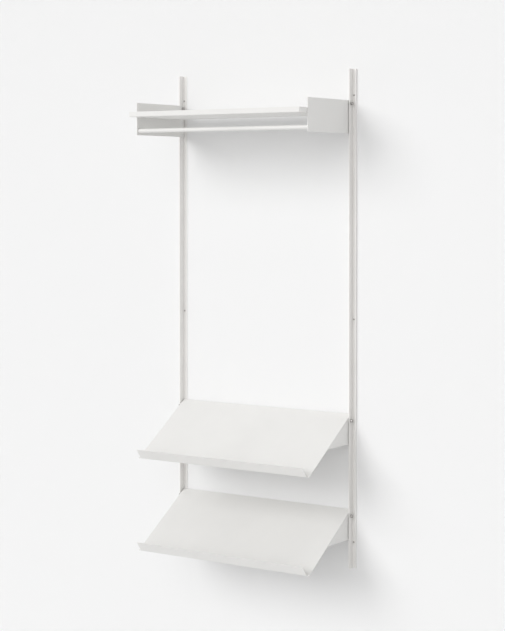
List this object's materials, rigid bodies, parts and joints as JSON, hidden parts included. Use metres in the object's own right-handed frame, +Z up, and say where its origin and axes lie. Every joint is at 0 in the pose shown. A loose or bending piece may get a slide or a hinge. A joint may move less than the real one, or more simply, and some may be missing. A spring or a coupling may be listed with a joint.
{
  "type": "wall mounted closet system",
  "caption": "Wall mounted closet: two wall rails carry a hat shelf tray with a clothes rod below it and two sloping shoe shelves with front lips.",
  "frame": {"origin": "wall face of the left rail, on the middle line of its fin, level with the rail's lowest wall screws", "axes": "+X along the wall to the right rail, +Y into the wall, +Z up along the rails"},
  "size_m": [0.844, 0.356, 1.9],
  "materials": {
    "rail_coat": "fine satin powder coat in warm off-white, on an aluminium rail",
    "shelf_coat": "fine satin powder coat in warm off-white, on sheet steel",
    "dark_steel": "darkened grey steel, satin",
    "zinc_steel": "bright zinc plate"
  },
  "bodies": {
    "wall_frame": {"left_rail": "rail_coat", "right_rail": "rail_coat", "left_bottom_inner_wall_screw": "dark_steel", "left_bottom_outer_wall_screw": "dark_steel", "left_middle_inner_wall_screw": "dark_steel", "left_middle_outer_wall_screw": "dark_steel", "left_top_inner_wall_screw": "dark_steel", "left_top_outer_wall_screw": "dark_steel", "right_bottom_inner_wall_screw": "dark_steel", "right_bottom_outer_wall_screw": "dark_steel", "right_middle_inner_wall_screw": "dark_steel", "right_middle_outer_wall_screw": "dark_steel", "right_top_inner_wall_screw": "dark_steel", "right_top_outer_wall_screw": "dark_steel", "left_hat_thumb_nut": "dark_steel", "left_upper_shoe_thumb_nut": "dark_steel", "left_lower_shoe_thumb_nut": "dark_steel", "right_hat_thumb_nut": "dark_steel", "right_upper_shoe_thumb_nut": "dark_steel", "right_lower_shoe_thumb_nut": "dark_steel", "left_hat_spacer": "dark_steel", "left_upper_shoe_spacer": "dark_steel", "left_lower_shoe_spacer": "dark_steel", "right_hat_spacer": "dark_steel", "right_upper_shoe_spacer": "dark_steel", "right_lower_shoe_spacer": "dark_steel", "hat_shelf_tray": "shelf_coat", "left_hat_bracket": "shelf_coat", "right_hat_bracket": "shelf_coat", "left_rear_tray_nut": "zinc_steel", "left_front_tray_nut": "zinc_steel", "right_rear_tray_nut": "zinc_steel", "right_front_tray_nut": "zinc_steel", "left_rod_spigot": "zinc_steel", "right_rod_spigot": "zinc_steel", "upper_shoe_shelf": "shelf_coat", "left_upper_shoe_bracket": "shelf_coat", "right_upper_shoe_bracket": "shelf_coat", "upper_shoe_left_rear_nut": "zinc_steel", "upper_shoe_left_front_nut": "zinc_steel", "upper_shoe_right_rear_nut": "zinc_steel", "upper_shoe_right_front_nut": "zinc_steel", "lower_shoe_shelf": "shelf_coat", "left_lower_shoe_bracket": "shelf_coat", "right_lower_shoe_bracket": "shelf_coat", "lower_shoe_left_rear_nut": "zinc_steel", "lower_shoe_left_front_nut": "zinc_steel", "lower_shoe_right_rear_nut": "zinc_steel", "lower_shoe_right_front_nut": "zinc_steel"},
    "turning_rod": {"clothes_rod": "shelf_coat"},
    "left_hat_bolt": {"left_hat_thumb_bolt": "dark_steel"},
    "left_upper_shoe_bolt": {"left_upper_shoe_thumb_bolt": "dark_steel"},
    "left_lower_shoe_bolt": {"left_lower_shoe_thumb_bolt": "dark_steel"},
    "right_hat_bolt": {"right_hat_thumb_bolt": "dark_steel"},
    "right_upper_shoe_bolt": {"right_upper_shoe_thumb_bolt": "dark_steel"},
    "right_lower_shoe_bolt": {"right_lower_shoe_thumb_bolt": "dark_steel"}
  },
  "joints": [
    {"name": "clothes_rod_turn", "type": "hinge", "parent": "wall_frame", "child": "turning_rod", "pos_m": [0.404, -0.293, 1.572], "axis": [1, 0, 0], "continuous": true},
    {"name": "left_hat_bolt_turn", "type": "hinge", "parent": "wall_frame", "child": "left_hat_bolt", "pos_m": [0, -0.017, 1.668], "axis": [1, 0, 0], "continuous": true},
    {"name": "left_upper_shoe_bolt_turn", "type": "hinge", "parent": "wall_frame", "child": "left_upper_shoe_bolt", "pos_m": [0, -0.017, 0.465], "axis": [1, 0, 0], "continuous": true},
    {"name": "left_lower_shoe_bolt_turn", "type": "hinge", "parent": "wall_frame", "child": "left_lower_shoe_bolt", "pos_m": [0, -0.017, 0.101], "axis": [1, 0, 0], "continuous": true},
    {"name": "right_hat_bolt_turn", "type": "hinge", "parent": "wall_frame", "child": "right_hat_bolt", "pos_m": [0.808, -0.017, 1.668], "axis": [1, 0, 0], "continuous": true},
    {"name": "right_upper_shoe_bolt_turn", "type": "hinge", "parent": "wall_frame", "child": "right_upper_shoe_bolt", "pos_m": [0.808, -0.017, 0.465], "axis": [1, 0, 0], "continuous": true},
    {"name": "right_lower_shoe_bolt_turn", "type": "hinge", "parent": "wall_frame", "child": "right_lower_shoe_bolt", "pos_m": [0.808, -0.017, 0.101], "axis": [1, 0, 0], "continuous": true}
  ]
}
